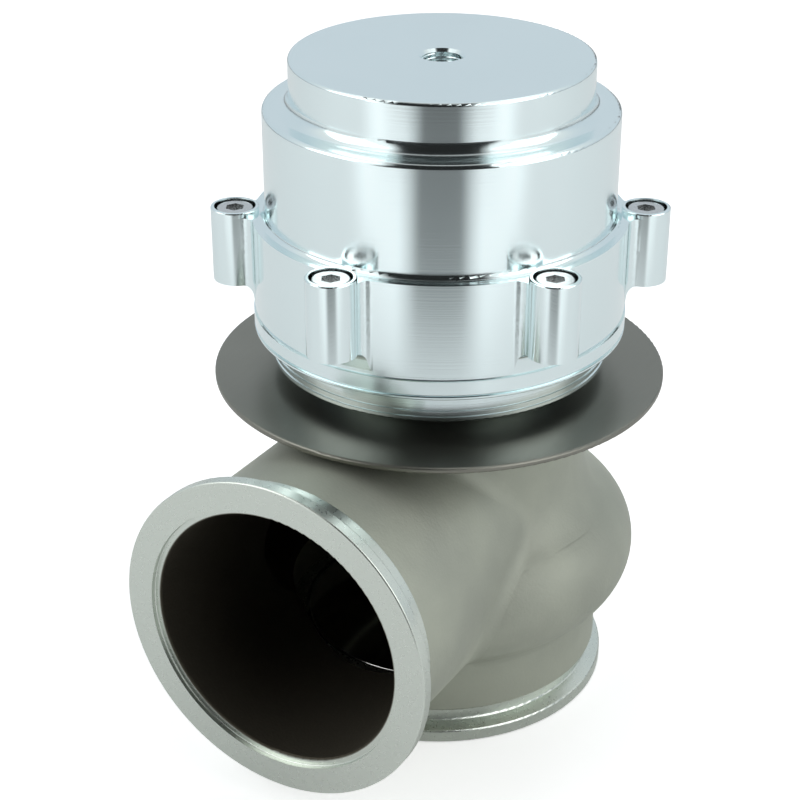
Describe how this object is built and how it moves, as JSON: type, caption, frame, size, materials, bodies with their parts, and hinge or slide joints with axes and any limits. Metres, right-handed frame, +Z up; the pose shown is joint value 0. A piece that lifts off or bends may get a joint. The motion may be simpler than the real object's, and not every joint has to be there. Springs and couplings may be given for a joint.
{
  "type": "turbo wastegate",
  "caption": "External turbo wastegate: a diaphragm actuator on a heat shield lifts a poppet valve in a cast body with an inlet flange below and an outlet flange at the side.",
  "frame": {"origin": "centre of the inlet flange's face, on the valve stem's axis", "axes": "+Z up along the valve stem from the inlet to the actuator, -Y out along the side outlet, +X square to both"},
  "size_m": [0.109, 0.1305, 0.1596],
  "materials": {
    "cast_steel": "matte cast stainless steel",
    "machined_steel": "turned",
    "bronze": "turned bronze",
    "gasket_sheet": "steel-faced gasket sheet",
    "shield_steel": "bright rolled stainless sheet",
    "insulating_sheet": "heat-resistant board",
    "clear_aluminium": "polished and clear anodised",
    "screw_steel": "bright stainless steel",
    "seal_rubber": "moulded",
    "spring_steel": "oiled spring wire",
    "diaphragm_rubber": "cloth-reinforced silicone",
    "plain_aluminium": "turned"
  },
  "bodies": {
    "housing": {"valve_body": "cast_steel", "valve_seat": "machined_steel", "valve_guide": "bronze", "body_gasket": "gasket_sheet", "heat_shield": "shield_steel", "insulating_gasket": "insulating_sheet", "actuator_base": "clear_aluminium", "base_screws": "screw_steel", "base_screw_washers": "screw_steel", "stem_bush": "bronze", "stem_seal": "seal_rubber", "seal_washer": "machined_steel", "seal_circlip": "spring_steel", "port_plug": "screw_steel", "diaphragm": "diaphragm_rubber", "actuator_cap": "clear_aluminium", "cap_screws": "screw_steel", "spring_shim": "machined_steel", "outer_spring": "spring_steel", "middle_spring": "spring_steel", "inner_spring": "spring_steel"},
    "valve": {"valve": "machined_steel", "lower_diaphragm_plate": "plain_aluminium", "upper_diaphragm_plate": "plain_aluminium", "stem_washer": "screw_steel", "stem_nut": "screw_steel"}
  },
  "joints": [
    {"name": "valve_lift", "type": "slide", "parent": "housing", "child": "valve", "axis": [0, 0, 1], "range_m": [0, 0.014], "stiffness_N_per_m": 15000, "springref_m": -0.02, "deforming": ["outer_spring", "middle_spring", "inner_spring", "diaphragm"]}
  ]
}
